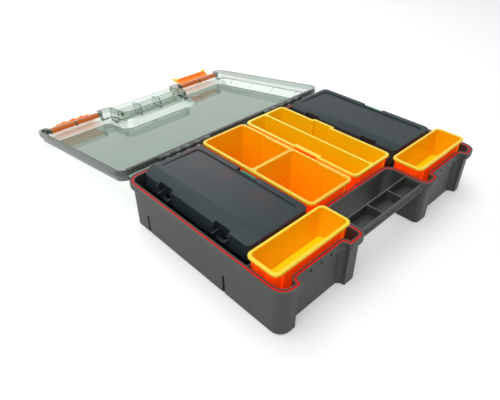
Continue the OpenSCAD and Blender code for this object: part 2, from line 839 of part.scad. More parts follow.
// A tray with two long channels, a finger notch in its left side and a swelling in its right
module twin_channel_tray() {
  w = tray_w/2;
  l = tray_l/2;
  notch_y = -notch_l/2 - 18;
  swell_y = -notch_l/2 + 18;
  points = [
    [-w, -l], [w, -l],
    [w, swell_y], [w + notch_d, swell_y], [w + notch_d, swell_y + notch_l], [w, swell_y + notch_l],
    [w, l], [-w, l],
    [-w, notch_y + notch_l], [-w + notch_d, notch_y + notch_l], [-w + notch_d, notch_y], [-w, notch_y]
  ];
  radii = [tray_r, tray_r, 2, 2, 2, 2, tray_r, tray_r, 2, 2, 2, 2];
  cell_w = (tray_w - 2*tray_rim - 3*tray_t)/2;
  notch_x = -w + notch_d + tray_rim;
  swell_x = w + notch_d - tray_rim;
  color([1, 0.6, 0.05])
    translate([channel_tray_x, tray_y, tray_floor_z])
      difference() {
        union() {
          tapered(inset_points(box_points(tray_w, tray_l), tray_rim),
            [for (i = [1:4]) tray_r - tray_rim], tray_h - join, tray_draft);
          translate([0, 0, tray_h - tray_rim_h]) linear_extrude(tray_rim_h) polygon(rounded(points, radii));
          translate([w - tray_rim - tray_draft - tray_t, swell_y + tray_rim, 0])
            cube([notch_d + tray_draft + tray_t, notch_l - 2*tray_rim, tray_h - join]);
          corner_ribs(tray_w, tray_l, tray_h);
        }
        difference() {
          for (s = [-1, 1])
            translate([s*(cell_w + tray_t)/2, 0, 0])
              pocket(cell_w, tray_l - 2*tray_rim - 2*tray_t, tray_h);
          // The wall follows the notch inwards
          translate([-w, notch_y - tray_rim - tray_t, -past])
            cube([notch_x + tray_t + w, notch_l + 2*tray_rim + 2*tray_t, tray_h + 2*past]);
        }
        translate([-w - past, notch_y - tray_rim, -past])
          cube([notch_x + w + past, notch_l + 2*tray_rim, tray_h - tray_rim_h + past]);
        // The inside of the swelling
        translate([w - tray_rim - tray_t - tray_draft, swell_y + tray_rim + tray_t, tray_t])
          cube([swell_x - tray_t - w + tray_rim + tray_t + tray_draft, notch_l - 2*tray_rim - 2*tray_t, tray_h]);
      }
}

// Small organizer boxes, each about its own middle with its foot at z = 0

cell_half = case_w/2 - organizer_t - spine_t/2;
row_pitch = (case_l - 2*organizer_t)/rows;
guide = 1.2;

// Places of the dividers in the two columns of an organizer
function divider_rows(column) = [for (i = [1:rows - 1]) if (column == 0 || i != 1) i];

module case_walls() {
  difference() {
    union() {
      plate(case_w, case_l, organizer_r - case_in, case_top - lid_gap);
      translate([0, 0, case_top - 2.4])
        plate(case_w + 2*case_flange, case_l + 2*case_flange, organizer_r - case_in + case_flange, 2.4 - lid_gap);
    }
    translate([0, 0, organizer_t])
      plate(case_w - 2*organizer_t, case_l - 2*organizer_t, 2, case_top);
  }
  translate([-spine_t/2, -case_l/2 + join, organizer_t - join])
    cube([spine_t, case_l - 2*join, case_wall_h - organizer_t]);
}

// Pairs of guide ribs that hold a divider, on the outer wall and on the spine
module divider_guides() {
  for (column = [0, 1], i = divider_rows(column), s = [-1, 1])
    mirror([column, 0, 0])
      translate([0, -case_l/2 + organizer_t + i*row_pitch, organizer_t - join]) {
        offset_y = s*(divider_t/2 + divider_clear + guide/2) - guide/2;
        translate([spine_t/2 - join, offset_y, 0]) cube([guide + join, guide, case_wall_h - 2]);
        translate([case_w/2 - organizer_t - guide, offset_y, 0])
          cube([guide + join, guide, case_wall_h - 2]);
      }
}

// The case's half of one hinge: a barrel between two lugs of the lid, with a stub at each end
hinge_lug_t = 4;
lug_side = 0.4;
case_barrel_l = organizer_hinge_l - 2*hinge_lug_t - 4;
stub_r = 1.2;
lug_r = 2.4;

module case_hinge() {
  translate([case_hinge_x, 0, case_hinge_z]) {
    bar_y(case_barrel_l, 2.2);
    bar_y(case_barrel_l + 2*hinge_lug_t, stub_r);
    translate([0, -case_barrel_l/2, -1.4]) cube([case_in - 1.8 + join, case_barrel_l, 1.8]);
  }
}

// Room in the case's flange for the two lugs of one hinge
module lug_room() {
  for (s = [-1, 1])
    translate([-organizer_w/2, s*(case_barrel_l/2 + lug_side + hinge_lug_t/2) - hinge_lug_t/2 - lug_side,
      case_top - 2.4 - past])
      cube([case_in, hinge_lug_t + 2*lug_side, 2.4 + 2*past]);
}

module organizer_case() {
  difference() {
    case_walls();
    for (y = [-organizer_hinge_y, organizer_hinge_y]) translate([0, y, 0]) lug_room();
  }
  divider_guides();
  for (y = [-organizer_hinge_y, organizer_hinge_y]) translate([0, y, 0]) case_hinge();
}

module organizer_dividers() {
  for (column = [0, 1], i = divider_rows(column))
    mirror([column, 0, 0])
      translate([spine_t/2 + divider_clear, -case_l/2 + organizer_t + i*row_pitch - divider_t/2,
        organizer_t + rest_gap])
        cube([cell_half - 2*divider_clear, divider_t, case_wall_h - organizer_t - 3]);
}

// Outline of the lid: its hinge side slopes out by the given part of the slope
function organizer_lid_outline(in, slope) =
  let (left = -organizer_w/2 + in + slope)
  rounded([
    [left, -organizer_l/2 + in], [organizer_w/2 - in, -organizer_l/2 + in],
    [organizer_w/2 - in, organizer_l/2 - in], [left, organizer_l/2 - in]
  ], [for (i = [1:4]) organizer_r - in]);

module organizer_lid() {
  difference() {
    union() {
      difference() {
        loft(organizer_lid_outline(0, 0), case_top,
          organizer_lid_outline(1, organizer_slope), organizer_top);
        loft(organizer_lid_outline(organizer_t, 0), case_top - past,
          organizer_lid_outline(1 + organizer_t, organizer_slope), organizer_top - organizer_t - 0.8);
        translate([organizer_slope/2, 0, organizer_top - 0.8])
          plate(organizer_w - organizer_slope - 20, organizer_l - 18, 5, 2);
      }
      // Walls of the hinge recesses and of the latch notch
      for (y = [-organizer_hinge_y, organizer_hinge_y])
        translate([-organizer_w/2 + 5.5, y - organizer_hinge_l/2 - organizer_t, case_top])
          cube([5 + organizer_t, organizer_hinge_l + 2*organizer_t, organizer_lid_h - 2]);
      translate([organizer_w/2 - clip_notch_d - organizer_t, -clip_notch_l/2 - organizer_t, case_top])
        cube([clip_notch_d, clip_notch_l + 2*organizer_t, organizer_lid_h - 2]);
    }
    for (y = [-organizer_hinge_y, organizer_hinge_y])
      translate([-organizer_w/2 - past, y - organizer_hinge_l/2, case_top - past])
        cube([past + 10, organizer_hinge_l, organizer_lid_h + 2*past]);
    translate([organizer_w/2 - clip_notch_d, -clip_notch_l/2, case_top - past])
      cube([clip_notch_d + past, clip_notch_l, organizer_lid_h + 2*past]);
  }
  // Lugs that turn on the case's stubs
  for (y = [-organizer_hinge_y, organizer_hinge_y], s = [-1, 1])
    translate([0, y + s*(case_barrel_l/2 + lug_side + hinge_lug_t/2), 0])
      difference() {
        union() {
          translate([case_hinge_x, 0, case_hinge_z]) bar_y(hinge_lug_t, lug_r);
          translate([case_hinge_x - lug_r, -hinge_lug_t/2, case_hinge_z]) cube([2*lug_r, hinge_lug_t, 8]);
          translate([case_hinge_x - lug_r, -hinge_lug_t/2, case_top + 1])
            cube([lug_r + 9, hinge_lug_t, 6]);
        }
        translate([case_hinge_x, 0, case_hinge_z]) bar_y(hinge_lug_t + 2*past, stub_r + pin_clear);
      }
  // Cheeks that carry the latch
  for (s = [-1, 1])
    translate([clip_x, s*(clip_notch_l/2 - 1), clip_pivot_z]) {
      translate([0, s*0.5, 0]) bar_y(4, 2.2);
      translate([-clip_notch_d, -1 + s*0.5, -2]) cube([clip_notch_d, 2, 4]);
      translate([0, -s*2, 0]) bar_y(6, 1.2);
    }
}

// The finger latch: a plate that turns near its top and hooks under the case's flange
module organizer_clip() {
  difference() {
    union() {
      translate([clip_face, -clip_l/2, case_top - 4.5]) cube([1.9, clip_l, organizer_lid_h + 3.5]);
      translate([clip_x, 0, clip_pivot_z]) bar_y(clip_l, 2.4);
      translate([clip_x - 3, -clip_l/2, organizer_top - 3]) cube([4, clip_l, 2]);
      translate([clip_face - 1.7, -clip_l/2 + 3, case_top - 4.5]) cube([1.7 + join, clip_l - 6, 1.8]);
    }
    translate([clip_x, 0, clip_pivot_z]) bar_y(clip_l + 2*past, 1.2 + pin_clear);
  }
}

module place_left() {
  translate([organizer_left_x, tray_y, tray_floor_z]) children();
}

module place_right() {
  translate([organizer_right_x, tray_y, tray_floor_z]) children();
}

module organizer_left_case() {
  color([0.2, 0.23, 0.24]) place_left() organizer_case();
}

module organizer_left_dividers() {
  color([0.3, 0.33, 0.34]) place_left() organizer_dividers();
}

module organizer_left_lid() {
  color([0.28, 0.32, 0.33, 0.8]) place_left() organizer_lid();
}

module organizer_left_clip() {
  color([0, 0.5, 0.4]) place_left() organizer_clip();
}

module organizer_right_case() {
  color([0.2, 0.23, 0.24]) place_right() organizer_case();
}

module organizer_right_dividers() {
  color([0.3, 0.33, 0.34]) place_right() organizer_dividers();
}

module organizer_right_lid() {
  color([0.28, 0.32, 0.33, 0.8]) place_right() organizer_lid();
}

module organizer_right_clip() {
  color([0, 0.5, 0.4]) place_right() organizer_clip();
}

base_tub();
rim_gasket();
hinge_pin_left();
hinge_pin_right();
lid_shell();
latch_left_lever();
latch_left_tab();
latch_left_pin();
latch_right_lever();
latch_right_tab();
latch_right_pin();
twin_cup_tray();
twin_channel_tray();
front_cup_left();
front_cup_right();
organizer_left_case();
organizer_left_dividers();
organizer_left_lid();
organizer_left_clip();
organizer_right_case();
organizer_right_dividers();
organizer_right_lid();
organizer_right_clip();
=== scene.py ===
import bpy
import bmesh
import json
from math import radians, sin, cos, pi
from mathutils import Matrix, Vector
from mathutils.bvhtree import BVHTree


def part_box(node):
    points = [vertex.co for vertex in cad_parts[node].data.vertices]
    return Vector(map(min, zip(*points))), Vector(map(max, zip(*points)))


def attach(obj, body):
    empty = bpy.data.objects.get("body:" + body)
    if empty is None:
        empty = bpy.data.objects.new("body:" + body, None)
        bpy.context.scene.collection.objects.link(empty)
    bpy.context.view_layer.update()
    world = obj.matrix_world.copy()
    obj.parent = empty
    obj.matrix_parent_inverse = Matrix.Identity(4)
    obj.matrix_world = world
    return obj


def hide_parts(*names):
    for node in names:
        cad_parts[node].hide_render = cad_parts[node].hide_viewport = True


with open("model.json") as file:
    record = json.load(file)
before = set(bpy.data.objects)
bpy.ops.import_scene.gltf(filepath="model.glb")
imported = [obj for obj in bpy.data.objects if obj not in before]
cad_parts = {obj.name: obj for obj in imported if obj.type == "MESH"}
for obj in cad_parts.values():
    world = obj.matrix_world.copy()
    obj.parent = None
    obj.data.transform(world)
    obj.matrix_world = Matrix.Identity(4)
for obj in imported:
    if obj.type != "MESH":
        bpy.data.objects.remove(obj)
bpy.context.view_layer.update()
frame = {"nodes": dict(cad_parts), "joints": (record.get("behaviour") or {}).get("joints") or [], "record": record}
nodes = frame["nodes"]
bodyOf = {n: body for body, members in frame["record"]["behaviour"]["bodies"].items() for n in members}
jointOf = {joint["name"]: joint for joint in frame["joints"]}
print("frame loaded,", len(nodes), "nodes")


def tint(r, g, b):
    # screen colour, 0 to 255, as a linear colour
    def linear(v):
        v /= 255
        return v / 12.92 if v <= 0.04045 else ((v + 0.055) / 1.055) ** 2.4
    return (linear(r), linear(g), linear(b), 1)


def put(tree, kind, inputs=None, **settings):
    # a node with its settings, and its inputs either linked or given a value
    node = tree.nodes.new("ShaderNode" + kind)
    for key, value in settings.items():
        setattr(node, key, value)
    for key, value in (inputs or {}).items():
        if isinstance(value, bpy.types.NodeSocket):
            tree.links.new(value, node.inputs[key])
        else:
            node.inputs[key].default_value = value
    return node


def product(tree, a, b):
    return put(tree, "Math", {0: a, 1: b}, operation="MULTIPLY").outputs[0]


def larger(tree, a, b):
    return put(tree, "Math", {0: a, 1: b}, operation="MAXIMUM").outputs[0]


def mixColour(tree, amount, a, b):
    return put(tree, "Mix", {0: amount, 6: a, 7: b}, data_type="RGBA").outputs[2]


def freshMaterial(name):
    mat = bpy.data.materials.new(name)
    mat.use_nodes = True
    mat.node_tree.nodes.clear()
    return mat, mat.node_tree


camera = {
    "place": (-0.445389, -0.342856, 0.421921),
    "yaw": 44.71827, "pitch": 35.95365, "roll": -0.60466,  # degrees, yaw from the box's depth
    "lens": 33.843, "sensor": 36, "shift": (-0.01254, -0.0162), "nearest": 0.01,
}


def addCamera(p):
    yaw, pitch, roll = radians(p["yaw"]), radians(p["pitch"]), radians(p["roll"])
    ahead = Vector((sin(yaw) * cos(pitch), cos(yaw) * cos(pitch), -sin(pitch)))
    right = Vector((cos(yaw), -sin(yaw), 0))
    down = ahead.cross(right)
    across = cos(roll) * right + sin(roll) * down
    below = -sin(roll) * right + cos(roll) * down
    turn = Matrix((across, -below, -ahead)).transposed().to_4x4()
    data = bpy.data.cameras.new("camera")
    data.lens = p["lens"]
    data.sensor_width = p["sensor"]
    data.sensor_fit = "HORIZONTAL"
    data.shift_x, data.shift_y = p["shift"]
    data.clip_start = p["nearest"]
    obj = bpy.data.objects.new("camera", data)
    bpy.context.scene.collection.objects.link(obj)
    obj.matrix_world = Matrix.Translation(p["place"]) @ turn
    bpy.context.scene.camera = obj


studio = {
    "floorColour": tint(232, 232, 232), "floorLift": 0.32, "floorReach": 6, "floorDrop": 0.0002,
    "worldColour": tint(240, 242, 245), "worldStrength": 0.5,
    "lamps": [
        # name, place, aims at, width, depth, watts
        ("overheadLamp", (-0.25, 0.35, 1.5), (0, 0, 0), 1.5, 1.2, 13),
        ("leftLamp", (-1.4, -0.5, 0.9), (0, 0, 0.05), 0.9, 0.9, 5),
        ("backLamp", (0.6, 1.4, 0.9), (0, 0.1, 0), 1.2, 0.7, 5),
    ],
}
white = (1, 1, 1, 1)


def seenDirectly(tree):
    # 1 for rays from the camera, and for those that a gloss or glass sends on
    path = put(tree, "LightPath").outputs
    glass = larger(tree, path["Is Camera Ray"], path["Is Transmission Ray"])
    return larger(tree, glass, path["Is Glossy Ray"])


def addFloor(p):
    # pale paper that keeps its shadows and is lifted towards white where it is seen
    bm = bmesh.new()
    bmesh.ops.create_grid(bm, x_segments=1, y_segments=1, size=p["floorReach"])
    mesh = bpy.data.meshes.new("floor")
    bm.to_mesh(mesh)
    bm.free()
    floor = bpy.data.objects.new("floor", mesh)
    floor.location = (0, 0, -p["floorDrop"])
    bpy.context.scene.collection.objects.link(floor)
    mat, tree = freshMaterial("paleFloor")
    paper = put(tree, "BsdfDiffuse", {"Color": p["floorColour"]})
    lift = product(tree, seenDirectly(tree), p["floorLift"])
    glow = put(tree, "Emission", {"Color": white, "Strength": lift})
    both = put(tree, "AddShader", {0: paper.outputs[0], 1: glow.outputs[0]})
    put(tree, "OutputMaterial", {"Surface": both.outputs[0]})
    mesh.materials.append(mat)


def addWorld(p):
    # soft light all round, and a white background where it is seen
    world = bpy.data.worlds.new("studioWorld")
    bpy.context.scene.world = world
    world.use_nodes = True
    tree = world.node_tree
    tree.nodes.clear()
    soft = put(tree, "Background", {"Color": p["worldColour"], "Strength": p["worldStrength"]})
    plain = put(tree, "Background", {"Color": white, "Strength": 1})
    both = put(tree, "MixShader", {0: seenDirectly(tree), 1: soft.outputs[0], 2: plain.outputs[0]})
    put(tree, "OutputWorld", {"Surface": both.outputs[0]})


def addLamps(p):
    for name, place, aim, width, depth, watts in p["lamps"]:
        lamp = bpy.data.lights.new(name, "AREA")
        lamp.shape = "RECTANGLE"
        lamp.size, lamp.size_y, lamp.energy = width, depth, watts
        obj = bpy.data.objects.new(name, lamp)
        bpy.context.scene.collection.objects.link(obj)
        look = (Vector(aim) - Vector(place)).to_track_quat("-Z", "Y")
        obj.matrix_world = Matrix.Translation(place) @ look.to_matrix().to_4x4()


addCamera(camera)
addFloor(studio)
addWorld(studio)
addLamps(studio)
bpy.context.scene.view_settings.view_transform = "Standard"
print("camera and studio ready")


def turnAbout(place, angle):
    # a turn about a line along X
    return Matrix.Translation(place) @ Matrix.Rotation(angle, 4, "X") @ Matrix.Translation(-place)


lidHinge = jointOf["lid_hinge"]
openLid = turnAbout(Vector(lidHinge["pos_m"]), radians(lidHinge["range_deg"][0]))  # from closed to open
alongLid = (1, 0, 0)
upLid = openLid.to_3x3() @ Vector((0, 0, 1))  # where the closed lid's upward direction points once open


def letLampsBy(tree, shader, colour):
    # rays on their way to a lamp pass the surface, tinted by it
    path = put(tree, "LightPath").outputs
    film = put(tree, "BsdfTransparent", {"Color": colour})
    return put(tree, "MixShader", {0: path["Is Shadow Ray"], 1: shader, 2: film.outputs[0]}).outputs[0]


plainMoulding = {  # of every moulded finish that says nothing else; the emission strength and colour paint a glow standing in for light from behind the piece, and the edge share sets how strongly the painted edge highlight shows
    "edge": 0.0006, "edgeHighlightShare": 0.6, "grain": 0.15, "grainScale": 1600, "mottleScale": 28,
    "shine": 0.5, "milky": 0.0, "paintedGlow": 0.0, "paintedGlowColour": (0, 0, 0, 1),
}


def mouldedPlastic(name, finish):
    # opaque or milky plastic with a fine grain and soft mottling; where given, a paler edge colour as a painted
    # highlight along its edges and an emission as a painted glow
    p = {**plainMoulding, **finish}
    mat, tree = freshMaterial(name)
    coords = put(tree, "TexCoord").outputs["Object"]
    rounded = put(tree, "Bevel", {"Radius": p["edge"]}, samples=6)
    mottle = put(tree, "TexNoise", {"Vector": coords, "Scale": p["mottleScale"], "Detail": 4})
    grain = put(tree, "TexNoise", {"Vector": coords, "Scale": p["grainScale"], "Detail": 2})
    bump = put(tree, "Bump", {"Strength": p["grain"], "Distance": 0.0002,
                              "Height": grain.outputs["Fac"], "Normal": rounded.outputs[0]})
    colour = mixColour(tree, mottle.outputs["Fac"], p["dark"], p["pale"])
    # edges painted paler where the rounded normal turns away from the flat one: a painted highlight
    if "edgeHighlight" in p:
        flat = put(tree, "NewGeometry").outputs["Normal"]
        bend = put(tree, "VectorMath", {0: rounded.outputs[0], 1: flat}, operation="DOT_PRODUCT")
        edge = put(tree, "MapRange", {"Value": bend.outputs["Value"], "From Min": 0.995,
                                      "From Max": 0.82, "To Min": 0.0, "To Max": p["edgeHighlightShare"]})
        colour = mixColour(tree, edge.outputs[0], colour, p["edgeHighlight"])
    rough = put(tree, "MapRange", {"Value": mottle.outputs["Fac"], "From Min": 0.3, "From Max": 0.7,
                                   "To Min": p["rough"] - 0.04, "To Max": p["rough"] + 0.05})
    # its emission is a painted glow in its own colour, standing in for light shining in from behind
    surface = put(tree, "BsdfPrincipled", {
        "Base Color": colour, "Roughness": rough.outputs[0], "Normal": bump.outputs[0], "IOR": 1.5,
        "Specular IOR Level": p["shine"], "Subsurface Weight": p["milky"],
        "Subsurface Radius": (1, 0.4, 0.1), "Subsurface Scale": 0.006,
        "Emission Color": p["paintedGlowColour"], "Emission Strength": p["paintedGlow"],
    }).outputs[0]
    if "glow" in p:
        surface = letLampsBy(tree, surface, p["glow"])
    put(tree, "OutputMaterial", {"Surface": surface})
    return mat


def wave(tree, place, length):
    # -1 to 1 and back along a coordinate, once in each length
    return put(tree, "Math", {0: product(tree, place, 2 * pi / length)}, operation="SINE").outputs[0]


def addHatch(tree, coords, colour, bump, p):
    # fine ribs across a direction, in relief, with painted dark lines along them as their shade
    across = put(tree, "VectorMath", {0: coords, 1: p["hatchAlong"]}, operation="DOT_PRODUCT")
    rib = put(tree, "MapRange", {"Value": wave(tree, across.outputs["Value"], p["hatch"]),
                                 "From Min": 0.1, "From Max": 0.7}).outputs[0]
    relief = put(tree, "Bump", {"Strength": 0.6, "Distance": 0.0006, "Height": rib,
                                "Normal": bump.outputs[0]})
    return mixColour(tree, rib, colour, p["hatchColour"]), relief


def addPaintedTrayGlow(tree, coords, colour, p):
    # a painted orange glow on the piece's side towards the tray beside it, in soft streaks and patches, standing
    # in for the tray's light
    across, along = put(tree, "SeparateXYZ", {0: coords}).outputs[:2]
    near = put(tree, "MapRange", {"Value": across, "From Min": p["paintedTrayGlowFrom"], "From Max": p["paintedTrayGlowTo"]})
    streak = put(tree, "MapRange", {"Value": wave(tree, along, p["paintedTrayGlowStreak"]), "From Min": -1.0,
                                    "From Max": 1.0, "To Min": 0.6, "To Max": 1.0})
    patches = put(tree, "TexNoise", {"Vector": coords, "Scale": 26, "Detail": 1})
    patch = put(tree, "MapRange", {"Value": patches.outputs["Fac"], "From Min": 0.42, "From Max": 0.6})
    share = product(tree, product(tree, near.outputs[0], streak.outputs[0]), patch.outputs[0])
    return mixColour(tree, share, colour, p["paintedTrayGlow"])


plainClear = {"ior": 1.49, "shine": 0.5}


def clearPlastic(name, finish):
    # tinted clear plastic that bends what is seen behind it and lets lamps shine past;
    # with "depth" its tint deepens with its thickness, with "hatch" it has fine ribs with painted dark lines as
    # their shade, and with the tray glow keys it gets a painted orange glow, standing in for light from the tray
    # beside it
    p = {**plainClear, **finish}
    mat, tree = freshMaterial(name)
    coords = put(tree, "TexCoord").outputs["Object"]
    haze = put(tree, "TexNoise", {"Vector": coords, "Scale": 22, "Detail": 5})
    rough = put(tree, "MapRange", {"Value": haze.outputs["Fac"], "From Min": 0.35, "From Max": 0.75,
                                   "To Min": p["rough"], "To Max": p["rough"] + 0.05})
    ripple = put(tree, "TexNoise", {"Vector": coords, "Scale": 120, "Detail": 2})
    bump = put(tree, "Bump", {"Strength": 0.05, "Distance": 0.0003, "Height": ripple.outputs["Fac"]})
    colour = p["colour"]
    if "hatch" in p:
        colour, bump = addHatch(tree, coords, colour, bump, p)
    if "paintedTrayGlow" in p:
        colour = addPaintedTrayGlow(tree, coords, colour, p)
    glass = put(tree, "BsdfPrincipled", {
        "Base Color": colour, "Roughness": rough.outputs[0], "Normal": bump.outputs[0],
        "IOR": p["ior"], "Transmission Weight": p["clear"], "Specular IOR Level": p["shine"],
    })
    output = put(tree, "OutputMaterial", {"Surface": letLampsBy(tree, glass.outputs[0], p["shade"])})
    if "depth" in p:
        tintBody = put(tree, "VolumeAbsorption", {"Color": p["depth"], "Density": p["density"]})
        tree.links.new(tintBody.outputs[0], output.inputs["Volume"])
    return mat


# the paler edge colours of these finishes are painted highlights along their edges
tubPlastic = mouldedPlastic("tubPlastic", {
    "dark": tint(50, 53, 50), "pale": tint(64, 68, 64), "edgeHighlight": tint(128, 132, 126), "edgeHighlightShare": 0.5,
    "rough": 0.5, "grain": 0.35,
})
sealRubber = mouldedPlastic("sealRubber", {
    "dark": tint(196, 10, 4), "pale": tint(222, 18, 8), "rough": 0.6, "grain": 0.1, "edge": 0.0003,
    "shine": 0.25,
})
pinPlastic = mouldedPlastic("pinPlastic", {
    "dark": tint(30, 32, 30), "pale": tint(44, 46, 44), "edgeHighlight": tint(96, 98, 94), "rough": 0.4,
})
# the levers' emission is a painted orange glow, standing in for light from behind them
leverPlastic = mouldedPlastic("leverPlastic", {
    "dark": tint(250, 116, 0), "pale": tint(255, 130, 6), "edgeHighlight": tint(255, 160, 50), "rough": 0.34,
    "milky": 0.2, "paintedGlow": 0.45, "paintedGlowColour": (1, 0.12, 0, 1),
})
tabPlastic = mouldedPlastic("tabPlastic", {
    "dark": tint(255, 214, 0), "pale": tint(255, 228, 0), "edgeHighlight": tint(255, 240, 90), "rough": 0.34,
    "milky": 0.2,
})
clipPlastic = mouldedPlastic("clipPlastic", {
    "dark": tint(0, 104, 78), "pale": tint(0, 124, 94), "edgeHighlight": tint(60, 170, 140), "rough": 0.35,
})
# one orange plastic in lit and shaded copies: rims and cup floors painted yellow as lit, the rim groove and the
# outsides painted darker red-orange as shaded, the inner walls in between
trayPlastic = {"rough": 0.3, "grain": 0.06, "milky": 0.2, "glow": (1.0, 0.93, 0.62, 1)}
trayRimPaintedLit = mouldedPlastic("trayRimPaintedLit", {
    **trayPlastic, "dark": tint(255, 212, 26), "pale": tint(255, 224, 44), "edgeHighlight": tint(255, 250, 150),
    "edgeHighlightShare": 0.9, "edge": 0.0007, "rough": 0.26, "grain": 0.05,
})
trayGroovePaintedShade = mouldedPlastic("trayGroovePaintedShade", {
    **trayPlastic, "dark": tint(255, 180, 8), "pale": tint(255, 192, 16), "grain": 0.05,
})
trayInside = mouldedPlastic("trayInside", {
    **trayPlastic, "dark": tint(255, 178, 0), "pale": tint(255, 188, 4),
})
channelInside = mouldedPlastic("channelInside", {
    **trayPlastic, "dark": tint(255, 200, 0), "pale": tint(255, 208, 4),
})
# the outsides' emission is a painted red glow
trayOutsidePaintedShade = mouldedPlastic("trayOutsidePaintedShade", {
    **trayPlastic, "dark": tint(255, 80, 0), "pale": tint(255, 92, 2), "edgeHighlight": tint(255, 170, 60),
    "paintedGlow": 0.42, "paintedGlowColour": (1, 0.035, 0, 1),
})
cupFloorPaintedLit = mouldedPlastic("cupFloorPaintedLit", {
    **trayPlastic, "dark": tint(255, 240, 0), "pale": tint(255, 246, 10), "rough": 0.28,
})
casePlastic = mouldedPlastic("casePlastic", {
    "dark": tint(22, 28, 31), "pale": tint(32, 40, 43), "edgeHighlight": tint(84, 94, 96), "rough": 0.3,
    "grain": 0.08,
})
dividerPlastic = mouldedPlastic("dividerPlastic", {
    "dark": tint(150, 164, 168), "pale": tint(166, 180, 184), "rough": 0.35, "grain": 0.08,
})
# copies of one clear plastic: the plate's, the hatched back's, the ridged flanges' and the left band's are tinted
# darker as painted shade
lidPlastic = {"depth": (0.1, 0.24, 0.12, 1), "density": 110, "shade": (0.95, 0.96, 0.95, 1),
              "rough": 0.015, "clear": 1.0}
lidClear = clearPlastic("lidClear", {**lidPlastic, "colour": (0.94, 0.97, 0.95, 1)})
lidPlatePaintedShade = clearPlastic("lidPlatePaintedShade", {**lidPlastic, "colour": (0.41, 0.48, 0.43, 1)})
lidHatchedPaintedShade = clearPlastic("lidHatchedPaintedShade", {
    **lidPlastic, "colour": (0.22, 0.28, 0.24, 1), "clear": 0.45, "hatch": 0.0034,
    "hatchAlong": alongLid, "hatchColour": (0.05, 0.065, 0.055, 1),
})
gripHatched = clearPlastic("gripHatched", {
    **lidPlastic, "colour": (0.93, 0.96, 0.94, 1), "clear": 0.85, "hatch": 0.0034,
    "hatchAlong": alongLid, "hatchColour": (0.5, 0.56, 0.52, 1),
})
lidRidgedPaintedShade = clearPlastic("lidRidgedPaintedShade", {
    **lidPlastic, "colour": (0.15, 0.18, 0.165, 1), "clear": 0.25, "hatch": 0.0021,
    "hatchAlong": upLid, "hatchColour": (0.02, 0.026, 0.023, 1),
})
lidBandPaintedShade = clearPlastic("lidBandPaintedShade", {**lidPlastic, "colour": (0.36, 0.42, 0.39, 1), "clear": 0.6})
smoke = {
    "colour": (0.05, 0.071, 0.077, 1), "shade": (0.75, 0.78, 0.79, 1), "rough": 0.3, "clear": 0.42,
    "ior": 1.27, "shine": 0.25,
}
coverSmoke = {
    # the left cover gets a painted orange glow on its side towards the trays
    "left": clearPlastic("coverSmokeLeft", {
        **smoke, "paintedTrayGlow": (0.1, 0.062, 0.066, 1), "paintedTrayGlowFrom": -0.142, "paintedTrayGlowTo": -0.112,
        "paintedTrayGlowStreak": 0.006,
    }),
    "right": clearPlastic("coverSmokeRight", smoke),
}
print("finishes ready")


def mergedCopy(node, weld=1e-6, flat=0.6):
    # the node's surface as one welded mesh, whose flat regions are single faces
    bm = bmesh.new()
    bm.from_mesh(nodes[node].data)
    bmesh.ops.remove_doubles(bm, verts=bm.verts, dist=weld)
    bmesh.ops.dissolve_limit(bm, angle_limit=radians(flat), verts=bm.verts, edges=bm.edges)
    return bm


def finishPiece(bm, name, node, looks, sharp=32):
    # the reworked mesh as a piece that stands for its node, with edges past an angle kept sharp
    for edge in bm.edges:
        edge.smooth = len(edge.link_faces) == 2 and edge.calc_face_angle(0) < radians(sharp)
    for face in bm.faces:
        face.smooth = True
    mesh = bpy.data.meshes.new(name)
    bm.to_mesh(mesh)
    bm.free()
    for look in looks:
        mesh.materials.append(look)
    obj = bpy.data.objects.new(name, mesh)
    bpy.context.scene.collection.objects.link(obj)
    weights = obj.modifiers.new("faceWeights", "WEIGHTED_NORMAL")
    weights.keep_sharp = True
    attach(obj, bodyOf[node])
    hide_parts(node)


def roundOff(bm, edges, width, segments=3):
    bmesh.ops.bevel(bm, geom=list(edges), offset=width, offset_type="OFFSET", affect="EDGES",
                    segments=segments, profile=0.5, material=-1, clamp_overlap=True, loop_slide=True)


def sharpEdges(bm, test, least=30):
    # edges sharper than the angle whose ends both pass the test
    return [e for e in bm.edges if len(e.link_faces) == 2 and e.calc_face_angle(0) > radians(least)
            and all(test(v.co) for v in e.verts)]


def remap(value, table):
    # a place between the marks of a table of (old, new), in millimetres
    v = value * 1000
    if v <= table[0][0]:
        return (v + table[0][1] - table[0][0]) / 1000
    for (a0, b0), (a1, b1) in zip(table, table[1:]):
        if v <= a1:
            return (b0 + (b1 - b0) * (v - a0) / (a1 - a0)) / 1000
    return (v + table[-1][1] - table[-1][0]) / 1000


def block(bm, low, high, edge):
    # a block between two corners, with rounded edges, in millimetres
    made = bmesh.ops.create_cube(bm, size=1)["verts"]
    size = [(b - a) / 1000 for a, b in zip(low, high)]
    middle = [(b + a) / 2000 for a, b in zip(low, high)]
    bmesh.ops.scale(bm, vec=size, verts=made)
    bmesh.ops.translate(bm, vec=middle, verts=made)
    roundOff(bm, {e for v in made for e in v.link_edges}, edge / 1000, 2)


def tubeX(bm, x0, x1, y, z, inner, outer, steps=36):
    # a tube along X, spun from its section, in millimetres
    places = [(x0, inner), (x1, inner), (x1, outer), (x0, outer)]
    verts = [bm.verts.new((x / 1000, y / 1000, (z + r) / 1000)) for x, r in places]
    ring = [bm.edges.new((verts[i], verts[(i + 1) % 4])) for i in range(4)]
    bmesh.ops.spin(bm, geom=verts + ring, cent=(0, y / 1000, z / 1000), axis=(1, 0, 0), dvec=(0, 0, 0),
                   angle=2 * pi, steps=steps, use_merge=True)


